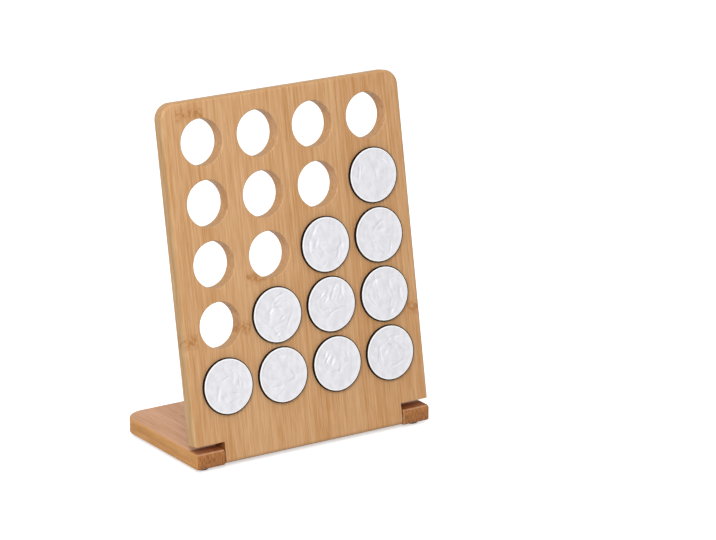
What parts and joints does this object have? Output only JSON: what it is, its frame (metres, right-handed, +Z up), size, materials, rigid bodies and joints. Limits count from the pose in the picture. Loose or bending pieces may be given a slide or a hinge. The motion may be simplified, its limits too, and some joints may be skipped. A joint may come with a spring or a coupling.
{
  "type": "coffee capsule holder",
  "caption": "Leaning bamboo panel whose round holes hold coffee capsules by their rims, hinged on dowels between the ears of a flat base board so that it folds flat.",
  "frame": {"origin": "on the surface that it stands on, under the middle of its width and depth", "axes": "+X to the right seen from the front, +Y to the back, +Z up"},
  "size_m": [0.1854, 0.1014, 0.2424],
  "materials": {
    "bamboo_panel": "oiled, satin",
    "bamboo_base": "oiled, satin",
    "dowel": "sanded end grain",
    "foot_rubber": "matte",
    "cup_red": "gloss",
    "cup_yellow": "gloss",
    "cup_blue": "gloss",
    "foil": "creased satin foil"
  },
  "bodies": {
    "base": {"base": "bamboo_base", "hinge_dowel_left": "dowel", "hinge_dowel_right": "dowel", "foot_front_left": "foot_rubber", "foot_front_right": "foot_rubber", "foot_rear_left": "foot_rubber", "foot_rear_right": "foot_rubber"},
    "panel": {"panel": "bamboo_panel"},
    "capsule_1": {"capsule_1_cup": "cup_red", "capsule_1_foil": "foil"},
    "capsule_2": {"capsule_2_cup": "cup_yellow", "capsule_2_foil": "foil"},
    "capsule_3": {"capsule_3_cup": "cup_blue", "capsule_3_foil": "foil"},
    "capsule_4": {"capsule_4_cup": "cup_red", "capsule_4_foil": "foil"},
    "capsule_5": {"capsule_5_cup": "cup_yellow", "capsule_5_foil": "foil"},
    "capsule_6": {"capsule_6_cup": "cup_blue", "capsule_6_foil": "foil"},
    "capsule_7": {"capsule_7_cup": "cup_red", "capsule_7_foil": "foil"},
    "capsule_8": {"capsule_8_cup": "cup_yellow", "capsule_8_foil": "foil"},
    "capsule_9": {"capsule_9_cup": "cup_blue", "capsule_9_foil": "foil"},
    "capsule_10": {"capsule_10_cup": "cup_red", "capsule_10_foil": "foil"}
  },
  "joints": [
    {"name": "panel_fold", "type": "hinge", "parent": "base", "child": "panel", "pos_m": [0, -0.0441, 0.0082], "axis": [1, 0, 0], "range_deg": [0, 100]},
    {"name": "capsule_1_lift", "type": "slide", "parent": "panel", "child": "capsule_1", "axis": [0, -0.9848, 0.1736], "range_m": [0, 0.04]},
    {"name": "capsule_2_lift", "type": "slide", "parent": "panel", "child": "capsule_2", "axis": [0, -0.9848, 0.1736], "range_m": [0, 0.04]},
    {"name": "capsule_3_lift", "type": "slide", "parent": "panel", "child": "capsule_3", "axis": [0, -0.9848, 0.1736], "range_m": [0, 0.04]},
    {"name": "capsule_4_lift", "type": "slide", "parent": "panel", "child": "capsule_4", "axis": [0, -0.9848, 0.1736], "range_m": [0, 0.04]},
    {"name": "capsule_5_lift", "type": "slide", "parent": "panel", "child": "capsule_5", "axis": [0, -0.9848, 0.1736], "range_m": [0, 0.04]},
    {"name": "capsule_6_lift", "type": "slide", "parent": "panel", "child": "capsule_6", "axis": [0, -0.9848, 0.1736], "range_m": [0, 0.04]},
    {"name": "capsule_7_lift", "type": "slide", "parent": "panel", "child": "capsule_7", "axis": [0, -0.9848, 0.1736], "range_m": [0, 0.04]},
    {"name": "capsule_8_lift", "type": "slide", "parent": "panel", "child": "capsule_8", "axis": [0, -0.9848, 0.1736], "range_m": [0, 0.04]},
    {"name": "capsule_9_lift", "type": "slide", "parent": "panel", "child": "capsule_9", "axis": [0, -0.9848, 0.1736], "range_m": [0, 0.04]},
    {"name": "capsule_10_lift", "type": "slide", "parent": "panel", "child": "capsule_10", "axis": [0, -0.9848, 0.1736], "range_m": [0, 0.04]}
  ]
}
